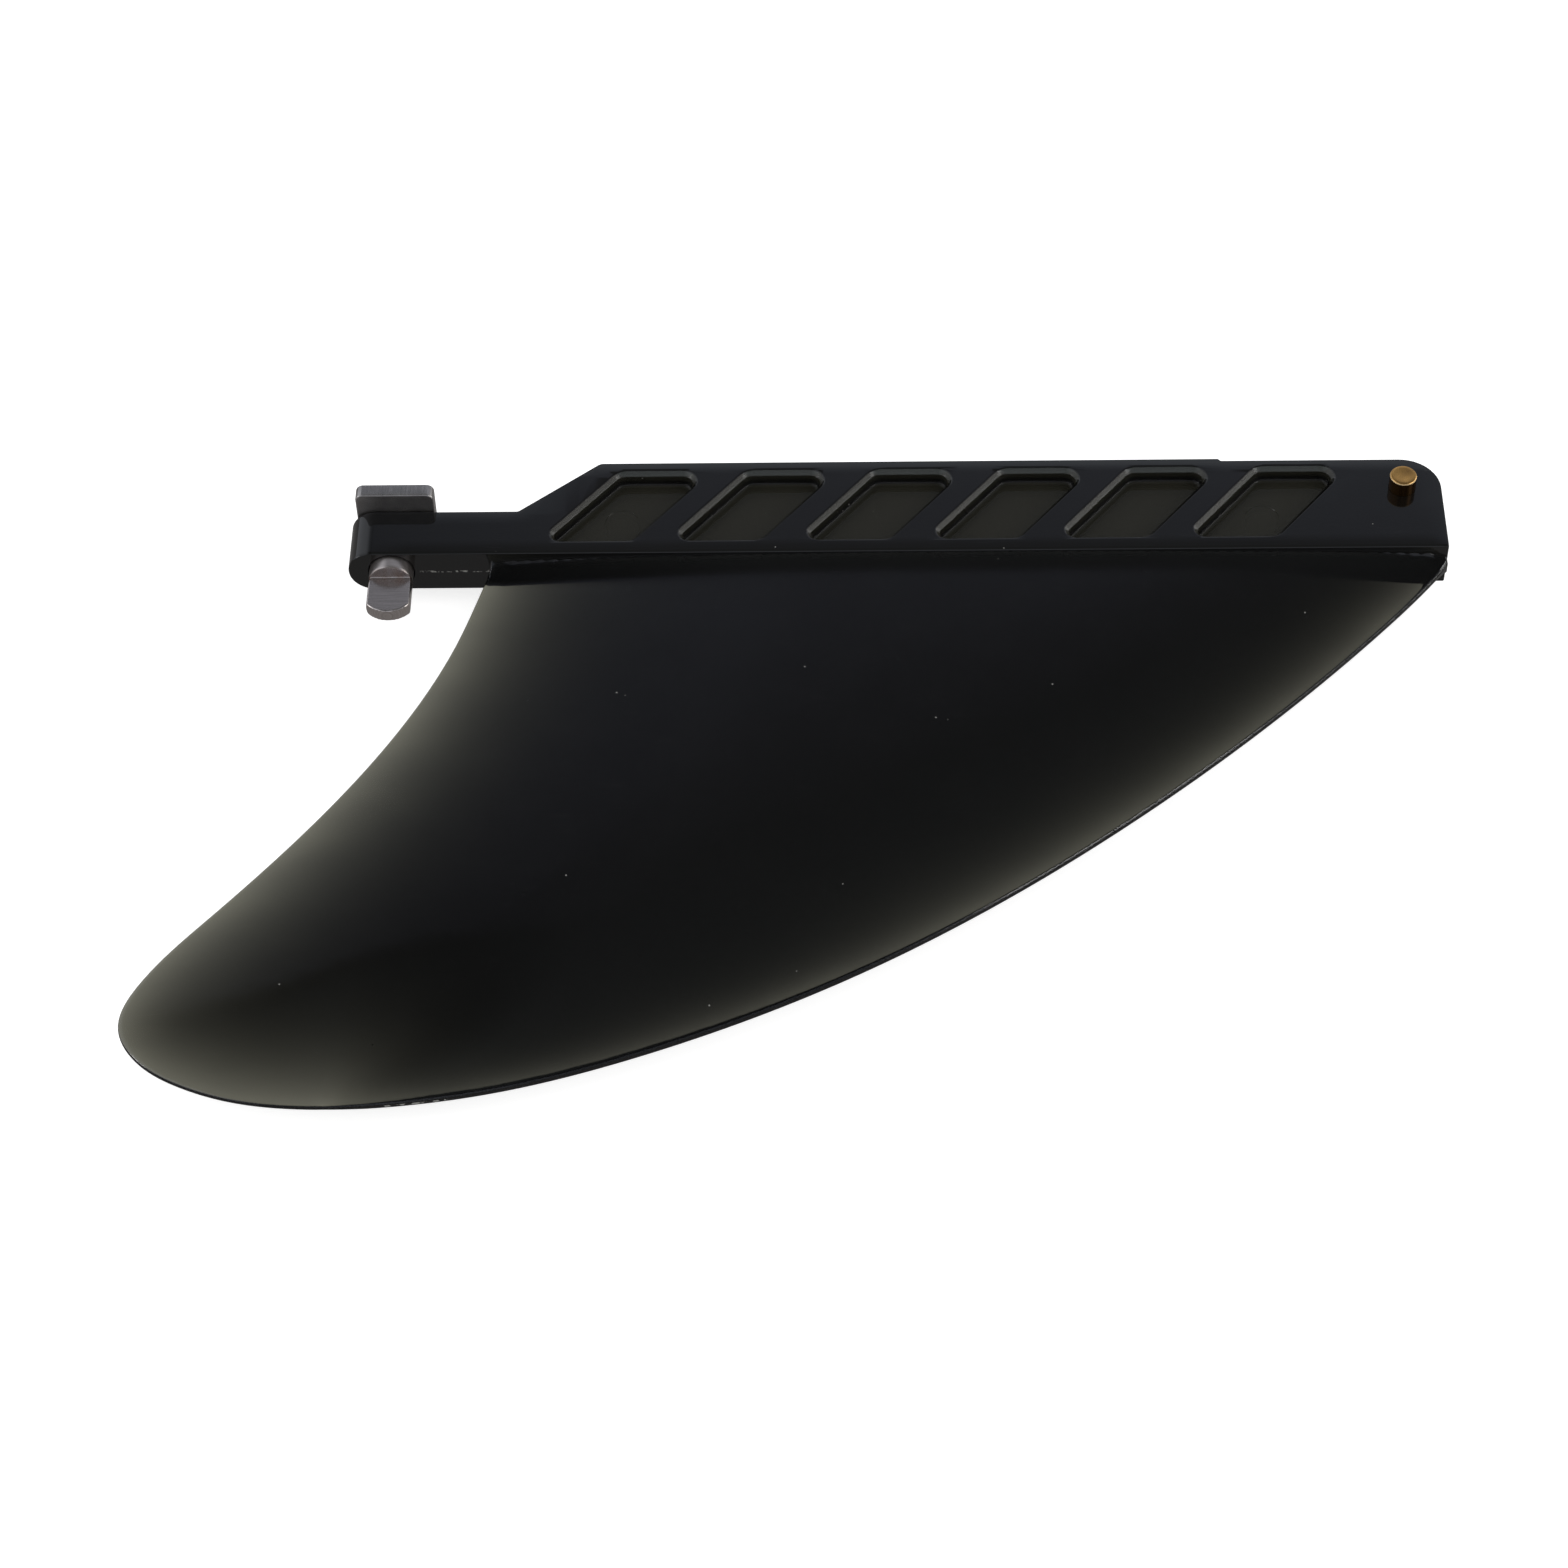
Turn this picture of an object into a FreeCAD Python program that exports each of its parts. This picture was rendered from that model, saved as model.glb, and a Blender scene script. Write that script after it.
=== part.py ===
import FreeCAD, Part
import math
import os
import Sketcher

# A centre fin for a long slotted fin box, lying on its side.
# X runs along the base towards the leading edge, Y from the tip to the base top,
# Z is square to the blade. The origin is the lower rear end of the base, mid thickness.

doc = FreeCAD.newDocument("centre_fin")
sheet = doc.addObject("Spreadsheet::Sheet", "Sizes")
sheet.Label = "Sizes"

# base that enters the fin box
base = {
    "base_length": 193.5,  # rear end of the arm to the front end
    "base_thickness": 9.2,  # width across the slot
    "base_height": 22.0,  # blade root to the base top
    "top_step": 0.5,  # relief of the base top at the front
    "step_length": 39.1,  # length of the relief
    "arm_height": 10.3,  # rear arm
    "shoulder_foot": 29.8,  # where the shoulder leaves the arm
    "shoulder_head": 44.0,  # where the shoulder meets the base top
    "shoulder_foot_radius": 1.0,
    "shoulder_head_radius": 1.8,
    "arm_end_flat": 0.1,  # flat left on the arm's round end
    "base_edge_radius": 0.45,  # round along the side edges
}

# lightening pockets, the same on both sides
pockets = {
    "pocket_start": 34.95,  # rear foot corner of the first pocket
    "pocket_pitch": 22.7,  # one pocket to the next
    "pocket_width": 15.1,  # length along the base
    "pocket_foot": 3.5,  # rib under the pockets
    "pocket_head": 2.7,  # rib over the pockets
    "pocket_slant": 51.0,  # angle of the slanted ribs
    "pocket_front": 16.0,  # least solid length in front of the pockets
    "pocket_radius": 1.5,  # corner radius
    "pocket_web": 3.1,  # web left between opposite pockets
    "pocket_rim": 0.85,  # bevel round the mouth
    "ejector_radius": 3.0,  # ejector pin mark in the last pocket
    "ejector_depth": 0.12,
    "ejector_along": 13.2,  # from the pocket's rear foot corner
    "ejector_height": 10.1,  # above the blade root
}

# cross pin, in line with the round of the base's front end
crossPin = {
    "pin_radius": 2.38,
    "nose_radius": 7.0,  # round of the base about the pin
    "pin_stand_out": 3.0,  # free end on each side
    "pin_bevel": 0.35,  # bevel on both ends
}

# thumb screw
thumbScrew = {
    "screw_at": 7.65,  # axis from the arm's rear end
    "shank_radius": 2.0,  # threaded shank
    "shank_clearance": 0.08,  # radial play in the arm
    "shank_over": 4.65,  # shank end above the plate
    "shank_bevel": 0.4,  # bevel on the shank end
    "seat_height": 3.5,  # counterbore floor above the blade root
    "seat_clearance": 0.02,  # play between the head and its seat
    "arm_wall": 0.45,  # wall beside the counterbore
    "head_clearance": 0.25,  # radial play of the head in the counterbore
    "head_bevel": 0.25,  # bevel on the head's upper edge
    "flat_start": 2.65,  # thumb flats start this far below the root
    "flat_half": 1.3,  # half thickness between the thumb flats
    "side_end": 8.85,  # the straight side ends this far below the root
    "dome_sag": 1.85,  # height of the domed end
}

# clamping plate on the shank
clampPlate = {
    "plate_length": 13.9,  # along the slot
    "plate_width": 16.8,  # across the slot, to reach over both rails of the fin box
    "plate_thickness": 2.75,
    "plate_offset": 0.35,  # middle of the plate ahead of its threaded hole
    "plate_gap": 0.3,  # underside above the arm
    "plate_corner": 1.4,  # corner radius
    "plate_edge": 0.3,  # bevel round the plate
    "thread_clearance": 0.04,  # radial play on the shank
}

# blade
blade = {
    "blade_depth": 116.2,  # blade root to the tip
    "root_rear": 25.3,  # rear end of the blade root
    "root_front_drop": 0.9,  # leading edge starts this far below the root
    "root_overlap": 1.0,  # blade blank inside the base
    "flare_depth": 3.8,  # height of the root flare
    "flare_ledge": 0.5,  # base side outside the flare at the thickest line
    "flare_rise": 0.45,  # flare over the blade at the thickest line
    "flare_rear": 2.6,  # half thickness of the flare at the trailing edge
    "flare_front": 2.8,  # half thickness of the flare at the leading edge
    "flare_sink": 0.05,  # foot of the flare below the blade's surface
    "flare_inset": 0.15,  # flare's ends inside the blade's edges
    "carve_margin": 2.0,  # carving runs past the blank
    "rear_edge_half": 0.42,  # half thickness at the trailing edge
    "front_edge_half": 0.72,  # half thickness at the leading edge
}

# blade outline: part of the depth, trailing edge behind the root's rear end,
# leading edge behind the base's front end
outline = [
    ("a", 0.0396, 1.3, 2.9),
    ("b", 0.1411, 4.7, 13.2),
    ("c", 0.315, 13.4, 33.2),
    ("d", 0.4966, 26.6, 57.2),
    ("e", 0.6721, 42.5, 84.6),
    ("f", 0.7849, 52.2, 106.2),
]

# outline round the tip: part of the depth, part of the chord at the last station above
tip = [
    ("a", 0.8614, -0.0228),
    ("b", 0.9225, 0.0123),
    ("c", 0.9613, 0.0727),
    ("d", 0.9862, 0.1445),
    ("e", 0.9991, 0.2434),
    ("f", 0.994, 0.3818),
    ("g", 0.9716, 0.5193),
    ("h", 0.9131, 0.7128),
]

# foil sections: part of the depth, trailing side behind the root's rear end,
# thickest line ahead of it, leading side behind the base's front end, half thickness
foil = [
    ("a", 0.1721, 6.0, 72.7, 16.9, 3.5),
    ("b", 0.3442, 15.3, 56.7, 36.9, 3.25),
    ("c", 0.5164, 28.3, 37.7, 60.0, 3.05),
    ("d", 0.6885, 44.0, 18.7, 88.1, 2.75),
    ("e", 0.8176, 54.3, 2.7, 109.5, 2.1),
    ("f", 0.9208, 57.3, -10.3, 127.5, 1.35),
    ("g", 1.0241, 58.3, -22.3, 143.5, 0.75),
]

# flare stations as parts of its height
flareSteps = [("a", 0.0), ("b", 0.12), ("c", 0.42), ("d", 1.0)]

# sizes that follow from the others
follow = {
    "base_half": "base_thickness / 2",
    "step_height": "base_height - top_step",
    "top_step_at": "base_length - step_length",
    "step_end": "top_step_at + top_step",
    "pin_at": "base_length - nose_radius",
    "pin_height": "step_height - nose_radius",
    "pin_length": "base_thickness + 2 * pin_stand_out",
    "arm_round": "base_half - arm_end_flat / 2",
    "pocket_top": "base_height - pocket_head",
    "pocket_lean": "(pocket_top - pocket_foot) / tan(pocket_slant)",
    "pocket_foot_front": "pocket_start + pocket_width",
    "pocket_top_rear": "pocket_start + pocket_lean",
    "pocket_top_front": "pocket_foot_front + pocket_lean",
    "pocket_count": "1 + floor((base_length - pocket_front - pocket_top_front) / pocket_pitch)",
    "pocket_run": "pocket_pitch * (pocket_count - 1)",
    "pocket_depth": "(base_thickness - pocket_web) / 2",
    "web_half": "pocket_web / 2",
    "ejector_at": "pocket_start + pocket_run + ejector_along",
    "shank_bore": "shank_radius + shank_clearance",
    "head_bore": "base_half - arm_wall",
    "head_radius": "head_bore - head_clearance",
    "plate_height": "arm_height + plate_gap",
    "plate_bore": "shank_radius + thread_clearance",
    "plate_half_length": "plate_length / 2",
    "plate_half_width": "plate_width / 2",
    "plate_rear": "plate_offset - plate_half_length",
    "plate_front": "plate_offset + plate_half_length",
    "plate_back": "0 - plate_half_width",
    "shank_top": "plate_height + plate_thickness + shank_over",
    "shank_end_edge": "shank_top - shank_bevel",
    "shank_end_radius": "shank_radius - shank_bevel",
    "head_top": "seat_height - seat_clearance",
    "head_top_edge": "head_top - head_bevel",
    "head_top_radius": "head_radius - head_bevel",
    "head_side_low": "0 - side_end",
    "head_low": "head_side_low - dome_sag",
    "dome_radius": "(head_radius ^ 2 + dome_sag ^ 2) / (2 * dome_sag)",
    "dome_centre": "head_low + dome_radius",
    "flat_top": "0 - flat_start",
    "flat_low": "head_low - 1",
    "flat_side": "head_radius + 1",
    "flat_back": "0 - flat_side",
    "front_drop": "0 - root_front_drop",
    "carve_top": "base_half + carve_margin",
    "foil_depth_root": "0",
    "foil_depth_start": "0 - carve_margin",
    "foil_rear_root": "root_rear - 0.1",
    "foil_mid_root": "root_rear + 86.7",
    "foil_front_root": "base_length + 1",
    "flare_crown": "base_half - flare_ledge",
    "foil_half_root": "flare_crown - flare_rise",
    "flare_foot_crown": "foil_half_root - flare_sink",
    "flare_foot_rear": "rear_edge_half - flare_sink",
    "flare_foot_front": "front_edge_half - flare_sink",
}
for key, part, behind, back in outline:
    follow["outline_depth_" + key] = "%s * blade_depth" % part
    follow["outline_rear_" + key] = "root_rear - %s" % behind
    follow["outline_front_" + key] = "base_length - %s" % back
follow["tip_chord"] = "outline_front_f - outline_rear_f"
for key, part, share in tip:
    follow["tip_depth_" + key] = "%s * blade_depth" % part
    follow["tip_along_" + key] = "outline_rear_f + (%s) * tip_chord" % share
for key, part, behind, ahead, back, half in foil:
    follow["foil_depth_" + key] = "%s * blade_depth" % part
    follow["foil_rear_" + key] = "root_rear - %s" % behind
    follow["foil_mid_" + key] = "root_rear + (%s)" % ahead
    follow["foil_front_" + key] = "base_length - %s" % back
    follow["foil_half_" + key] = "%s" % half
follow["rear_rake"] = "(root_rear - outline_rear_a) / outline_depth_a"
follow["front_rake"] = "(base_length - outline_front_a) / (outline_depth_a - root_front_drop)"
for key, part in flareSteps:
    follow["flare_left_" + key] = "1 - sqrt(1 - (1 - %s) ^ 2)" % part
    follow["flare_depth_" + key] = "%s * flare_depth" % part
    for where in ("crown", "rear", "front"):
        rise = "(flare_{0} - flare_foot_{0}) * flare_left_{1}".format(where, key)
        follow["flare_%s_%s" % (where, key)] = "flare_foot_%s + %s" % (where, rise)
        follow["flare_%s_low_%s" % (where, key)] = "0 - flare_%s_%s" % (where, key)
    follow["flare_start_" + key] = "root_rear + flare_inset - rear_rake * flare_depth_" + key
    drop = "max(flare_depth_%s - root_front_drop; 0)" % key
    follow["flare_end_" + key] = "base_length - flare_inset - front_rake * " + drop

cells = []
for group in (base, pockets, crossPin, thumbScrew, clampPlate, blade, follow):
    for name, value in group.items():
        cells.append(name)
        sheet.set("A%d" % len(cells), name)
        sheet.set("B%d" % len(cells), "=%s" % value)
        sheet.setAlias("B%d" % len(cells), name)
doc.recompute()


def get(name):
    return float(sheet.get(name))


def originPlane(body, role):
    return [item for item in body.Origin.OriginFeatures if item.Role == role][0]


def newBody(name, place):
    body = doc.addObject("PartDesign::Body", name)
    body.Label = name
    for axis, alias in zip("xyz", place):
        if alias:
            body.setExpression("Placement.Base." + axis, "Sizes." + alias)
    return body


def newSketch(body, name, role, away=None):
    sketch = body.newObject("Sketcher::SketchObject", name)
    sketch.AttachmentSupport = [(originPlane(body, role), "")]
    sketch.MapMode = "FlatFace"
    if away:
        sketch.setExpression("AttachmentOffset.Base.z", "Sizes." + away)
    return sketch


def bind(sketch, kind, *where, to):
    number = sketch.addConstraint(Sketcher.Constraint(kind, *where, get(to)))
    sketch.setExpression("Constraints[%d]" % number, "Sizes." + to)


def hold(sketch, piece, end, x, y):
    if x:
        bind(sketch, "DistanceX", -1, 1, piece, end, to=x)
    else:
        sketch.addConstraint(Sketcher.Constraint("PointOnObject", piece, end, -2))
    if y:
        bind(sketch, "DistanceY", -1, 1, piece, end, to=y)
    else:
        sketch.addConstraint(Sketcher.Constraint("PointOnObject", piece, end, -1))


def at(x, y):
    return FreeCAD.Vector(get(x) if x else 0, get(y) if y else 0, 0)


def line(sketch, start, end):
    return sketch.addGeometry(Part.LineSegment(at(*start), at(*end)), False)


def join(sketch, first, second):
    sketch.addConstraint(Sketcher.Constraint("Coincident", first, 2, second, 1))


def polygon(sketch, corners):
    sides = [line(sketch, a, b) for a, b in zip(corners, corners[1:] + corners[:1])]
    for side, after in zip(sides, sides[1:] + sides[:1]):
        join(sketch, side, after)
    for side, (x, y) in zip(sides, corners):
        hold(sketch, side, 1, x, y)


def circle(sketch, x, y, radius):
    ring = Part.Circle(at(x, y), FreeCAD.Vector(0, 0, 1), get(radius))
    number = sketch.addGeometry(ring, False)
    hold(sketch, number, 3, x, y)
    bind(sketch, "Radius", number, to=radius)


def arc(sketch, centre, start, end):
    first, last = start - centre, end - centre
    ring = Part.Circle(centre, FreeCAD.Vector(0, 0, 1), first.Length)
    turns = math.atan2(first.y, first.x), math.atan2(last.y, last.x)
    return sketch.addGeometry(Part.ArcOfCircle(ring, *turns), False)


def feature(body, kind, name, sketch, length=None, **settings):
    item = body.newObject("PartDesign::" + kind, name)
    item.Profile = sketch
    if length:
        item.setExpression("Length", "Sizes." + length)
    for key, value in settings.items():
        setattr(item, key, value)
    doc.recompute()
    return item


def mirrored(body, name, originals, role):
    item = body.newObject("PartDesign::Mirrored", name)
    item.Originals = originals
    item.MirrorPlane = (originPlane(body, role), [""])
    body.Tip = item
    doc.recompute()
    return item


def dress(body, kind, name, amount, wanted):
    base = body.Tip
    chosen = ["Edge%d" % (i + 1) for i, e in enumerate(base.Shape.Edges) if wanted(e)]
    item = body.newObject("PartDesign::" + kind, name)
    item.Base = (base, chosen)
    item.setExpression("Radius" if kind == "Fillet" else "Size", "Sizes." + amount)
    doc.recompute()
    return item


def near(value, name):
    return abs(value - get(name)) < 0.01


def along(edge, axis):
    first, last = edge.Vertexes[0].Point, edge.Vertexes[-1].Point
    step = (last - first)
    return edge.Curve.TypeId == "Part::GeomLine" and abs(step[axis]) > step.Length * 0.999


def corner(x, y):
    return lambda e: along(e, 2) and near(e.CenterOfMass.x, x) and near(e.CenterOfMass.y, y)


# fin body: blade blank cut to the outline
fin = newBody("fin_body", (None, None, None))
sketch = newSketch(fin, "BladeOutline", "XY_Plane")
points = [at("root_rear", None)]
points += [FreeCAD.Vector(get("outline_rear_" + k), -get("outline_depth_" + k), 0) for k, *_ in outline]
points += [FreeCAD.Vector(get("tip_along_" + k), -get("tip_depth_" + k), 0) for k, *_ in tip]
points += [FreeCAD.Vector(get("outline_front_" + k), -get("outline_depth_" + k), 0)
           for k, *_ in reversed(outline)]
points += [at("base_length", "front_drop")]
curve = Part.BSplineCurve()
curve.interpolate(points)
edge = sketch.addGeometry(curve, False)
front = line(sketch, ("base_length", "front_drop"), ("base_length", "root_overlap"))
top = line(sketch, ("base_length", "root_overlap"), ("root_rear", "root_overlap"))
rear = line(sketch, ("root_rear", "root_overlap"), ("root_rear", None))
join(sketch, edge, front)
join(sketch, front, top)
join(sketch, top, rear)
join(sketch, rear, edge)
hold(sketch, front, 1, "base_length", "front_drop")
hold(sketch, top, 1, "base_length", "root_overlap")
hold(sketch, rear, 1, "root_rear", "root_overlap")
hold(sketch, edge, 1, "root_rear", None)
feature(fin, "Pad", "BladeBlank", sketch, "base_thickness", Midplane=True)


# fin body: both sides of the blade carved to the foil
def crownArcs(sketch, crown, ahead, behind):
    pieces = []
    for first, last in ((ahead, crown), (crown, behind)):
        end = first if last is crown else last
        reach, sag = end.x - crown.x, crown.y - end.y
        centre = FreeCAD.Vector(crown.x, crown.y - (reach ** 2 + sag ** 2) / (2 * sag), 0)
        pieces.append(arc(sketch, centre, first, last))
    join(sketch, *pieces)
    return pieces


def foilSection(name, key, away):
    sketch = newSketch(fin, name, "XZ_Plane", away)
    margin = get("carve_margin")
    left, right = get("foil_rear_" + key) - margin, get("foil_front_" + key) + margin
    crown = FreeCAD.Vector(get("foil_mid_" + key), get("foil_half_" + key), 0)
    low = FreeCAD.Vector(left, get("rear_edge_half"), 0)
    nose = FreeCAD.Vector(right, get("front_edge_half"), 0)
    topLeft = FreeCAD.Vector(left, get("carve_top"), 0)
    topRight = FreeCAD.Vector(right, get("carve_top"), 0)
    ahead, behind = crownArcs(sketch, crown, nose, low)
    up = sketch.addGeometry(Part.LineSegment(low, topLeft), False)
    over = sketch.addGeometry(Part.LineSegment(topLeft, topRight), False)
    down = sketch.addGeometry(Part.LineSegment(topRight, nose), False)
    for first, second in ((behind, up), (up, over), (over, down), (down, ahead)):
        join(sketch, first, second)
    for side in (up, down):
        sketch.addConstraint(Sketcher.Constraint("Vertical", side))
    sketch.addConstraint(Sketcher.Constraint("Horizontal", over))
    for piece, end in ((ahead, 2), (ahead, 3), (behind, 3)):
        bind(sketch, "DistanceX", -1, 1, piece, end, to="foil_mid_" + key)
    bind(sketch, "DistanceY", -1, 1, ahead, 2, to="foil_half_" + key)
    bind(sketch, "DistanceY", -1, 1, ahead, 1, to="front_edge_half")
    bind(sketch, "DistanceY", -1, 1, behind, 2, to="rear_edge_half")
    bind(sketch, "DistanceY", -1, 1, over, 1, to="carve_top")
    for piece, end, word, sign in ((behind, 2, "rear", "-"), (ahead, 1, "front", "+")):
        place = left if word == "rear" else right
        number = sketch.addConstraint(Sketcher.Constraint("DistanceX", -1, 1, piece, end, place))
        formula = "Sizes.foil_%s_%s %s Sizes.carve_margin" % (word, key, sign)
        sketch.setExpression("Constraints[%d]" % number, formula)
    return sketch


sections = [foilSection("FoilStart", "root", "foil_depth_start")]
sections += [foilSection("Foil" + k.capitalize(), k, "foil_depth_" + k)
             for k in ["root"] + [k for k, *_ in foil]]
doc.recompute()
carve = feature(fin, "SubtractiveLoft", "BladeSide", sections[0], Sections=sections[1:])
mirrored(fin, "OtherSide", [carve], "XY_Plane")

# fin body: base
sketch = newSketch(fin, "BaseSide", "XY_Plane")
polygon(sketch, [
    (None, None),
    ("base_length", None),
    ("base_length", "step_height"),
    ("step_end", "step_height"),
    ("top_step_at", "base_height"),
    ("shoulder_head", "base_height"),
    ("shoulder_foot", "arm_height"),
    (None, "arm_height"),
])
feature(fin, "Pad", "Base", sketch, "base_thickness", Midplane=True)
dress(fin, "Fillet", "Nose", "nose_radius", corner("base_length", "step_height"))
dress(fin, "Fillet", "ShoulderHead", "shoulder_head_radius", corner("shoulder_head", "base_height"))
dress(fin, "Fillet", "ShoulderFoot", "shoulder_foot_radius", corner("shoulder_foot", "arm_height"))
dress(fin, "Fillet", "ArmEnd", "arm_round", lambda e: along(e, 1) and abs(e.CenterOfMass.x) < 0.01)
dress(fin, "Fillet", "BaseEdges", "base_edge_radius",
      lambda e: e.BoundBox.ZLength < 0.01 and near(abs(e.BoundBox.ZMin), "base_half"))


# fin body: flare between the blade and the base
def flareSection(key):
    sketch = newSketch(fin, "Flare" + key.upper(), "XZ_Plane", "flare_depth_" + key)
    crown = at("foil_mid_root", "flare_crown_" + key)
    ahead, behind = at("flare_end_" + key, "flare_front_" + key), at("flare_start_" + key, "flare_rear_" + key)
    lowCrown = at("foil_mid_root", "flare_crown_low_" + key)
    lowAhead = at("flare_end_" + key, "flare_front_low_" + key)
    lowBehind = at("flare_start_" + key, "flare_rear_low_" + key)
    upper = crownArcs(sketch, crown, ahead, behind)
    down = sketch.addGeometry(Part.LineSegment(behind, lowBehind), False)
    lower = []
    for first, last, end in ((lowBehind, lowCrown, lowBehind), (lowCrown, lowAhead, lowAhead)):
        reach, sag = end.x - lowCrown.x, end.y - lowCrown.y
        centre = FreeCAD.Vector(lowCrown.x, lowCrown.y + (reach ** 2 + sag ** 2) / (2 * sag), 0)
        lower.append(arc(sketch, centre, first, last))
    up = sketch.addGeometry(Part.LineSegment(lowAhead, ahead), False)
    for first, second in ((upper[1], down), (down, lower[0]), lower, (lower[1], up), (up, upper[0])):
        join(sketch, first, second)
    hold(sketch, upper[0], 1, "flare_end_" + key, "flare_front_" + key)
    hold(sketch, upper[1], 1, "foil_mid_root", "flare_crown_" + key)
    hold(sketch, down, 1, "flare_start_" + key, "flare_rear_" + key)
    hold(sketch, lower[0], 1, "flare_start_" + key, "flare_rear_low_" + key)
    hold(sketch, lower[1], 1, "foil_mid_root", "flare_crown_low_" + key)
    hold(sketch, up, 1, "flare_end_" + key, "flare_front_low_" + key)
    for piece in (*upper, *lower):
        bind(sketch, "DistanceX", -1, 1, piece, 3, to="foil_mid_root")
    return sketch


flares = [flareSection(k) for k, _ in flareSteps]
doc.recompute()
feature(fin, "AdditiveLoft", "RootFlare", flares[0], Sections=flares[1:])

# fin body: lightening pockets
sketch = newSketch(fin, "PocketShape", "XY_Plane", "base_half")
polygon(sketch, [
    ("pocket_start", "pocket_foot"),
    ("pocket_foot_front", "pocket_foot"),
    ("pocket_top_front", "pocket_top"),
    ("pocket_top_rear", "pocket_top"),
])
pocket = feature(fin, "Pocket", "Pocket", sketch, "pocket_depth")
both = fin.newObject("PartDesign::MultiTransform", "Pockets")
both.Originals = [pocket]
row = fin.newObject("PartDesign::LinearPattern", "PocketRow")
row.Direction = (sketch, ["H_Axis"])
row.setExpression("Length", "Sizes.pocket_run")
row.setExpression("Occurrences", "Sizes.pocket_count")
other = fin.newObject("PartDesign::Mirrored", "PocketsOtherSide")
other.MirrorPlane = (originPlane(fin, "XY_Plane"), [""])
both.Transformations = [row, other]
fin.Tip = both
doc.recompute()
wall = get("pocket_depth")
dress(fin, "Fillet", "PocketCorners", "pocket_radius",
      lambda e: along(e, 2) and near(e.Length, "pocket_depth"))


def pocketMouth(e):
    box = e.BoundBox
    inside = box.XMin > get("pocket_start") - 1 and box.XMax < get("pin_at")
    flat = box.ZLength < 0.01 and near(abs(box.ZMin), "base_half")
    return inside and flat and box.YMin > get("pocket_foot") - 0.1 and box.YMax < get("pocket_top") + 0.1


dress(fin, "Chamfer", "PocketRims", "pocket_rim", pocketMouth)
sketch = newSketch(fin, "EjectorMark", "XY_Plane", "web_half")
circle(sketch, "ejector_at", "ejector_height", "ejector_radius")
feature(fin, "Pocket", "EjectorDent", sketch, "ejector_depth")

# fin body: bores for the cross pin and the thumb screw
sketch = newSketch(fin, "PinHole", "XY_Plane")
circle(sketch, "pin_at", "pin_height", "pin_radius")
feature(fin, "Pocket", "PinBore", sketch, Type=1, Midplane=True)
sketch = newSketch(fin, "HeadHole", "XZ_Plane")
circle(sketch, "screw_at", None, "head_bore")
feature(fin, "Pocket", "Counterbore", sketch, "seat_height")
sketch = newSketch(fin, "ShankHole", "XZ_Plane")
circle(sketch, "screw_at", None, "shank_bore")
feature(fin, "Pocket", "ShankBore", sketch, "base_height")


# cross pin
pin = newBody("cross_pin", ("pin_at", "pin_height", None))
sketch = newSketch(pin, "PinRound", "XY_Plane")
circle(sketch, None, None, "pin_radius")
feature(pin, "Pad", "Pin", sketch, "pin_length", Midplane=True)
dress(pin, "Chamfer", "PinEnds", "pin_bevel", lambda e: e.Curve.TypeId == "Part::GeomCircle")

# thumb screw
screw = newBody("thumb_screw", ("screw_at", None, None))
sketch = newSketch(screw, "ScrewProfile", "XY_Plane")
path = [
    (None, "shank_top"),
    ("shank_end_radius", "shank_top"),
    ("shank_radius", "shank_end_edge"),
    ("shank_radius", "head_top"),
    ("head_top_radius", "head_top"),
    ("head_radius", "head_top_edge"),
    ("head_radius", "head_side_low"),
]
sides = [line(sketch, a, b) for a, b in zip(path, path[1:])]
dome = arc(sketch, at(None, "dome_centre"), at(None, "head_low"), at("head_radius", "head_side_low"))
axis = line(sketch, (None, "head_low"), (None, "shank_top"))
for side, after in zip(sides, sides[1:]):
    join(sketch, side, after)
sketch.addConstraint(Sketcher.Constraint("Coincident", sides[-1], 2, dome, 2))
sketch.addConstraint(Sketcher.Constraint("Coincident", dome, 1, axis, 1))
join(sketch, axis, sides[0])
for side, (x, y) in zip(sides, path):
    hold(sketch, side, 1, x, y)
hold(sketch, sides[-1], 2, *path[-1])
hold(sketch, dome, 1, None, "head_low")
sketch.addConstraint(Sketcher.Constraint("PointOnObject", dome, 3, -2))
turned = screw.newObject("PartDesign::Revolution", "Turned")
turned.Profile = sketch
turned.ReferenceAxis = (sketch, ["V_Axis"])
turned.Angle = 360
doc.recompute()
sketch = newSketch(screw, "FlatCut", "XY_Plane", "flat_half")
polygon(sketch, [
    ("flat_back", "flat_low"),
    ("flat_side", "flat_low"),
    ("flat_side", "flat_top"),
    ("flat_back", "flat_top"),
])
flat = feature(screw, "Pocket", "ThumbFlat", sketch, "head_radius", Reversed=True)
mirrored(screw, "ThumbFlats", [flat], "XY_Plane")

# clamping plate
plate = newBody("lock_plate", ("screw_at", "plate_height", None))
sketch = newSketch(plate, "PlateShape", "XZ_Plane")
polygon(sketch, [
    ("plate_rear", "plate_back"),
    ("plate_front", "plate_back"),
    ("plate_front", "plate_half_width"),
    ("plate_rear", "plate_half_width"),
])
feature(plate, "Pad", "Plate", sketch, "plate_thickness", Reversed=True)
dress(plate, "Fillet", "PlateCorners", "plate_corner", lambda e: along(e, 1))
dress(plate, "Chamfer", "PlateEdges", "plate_edge", lambda e: e.BoundBox.YLength < 0.01)
sketch = newSketch(plate, "PlateHole", "XZ_Plane")
circle(sketch, None, None, "plate_bore")
feature(plate, "Pocket", "PlateBore", sketch, Type=1, Midplane=True)

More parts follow.
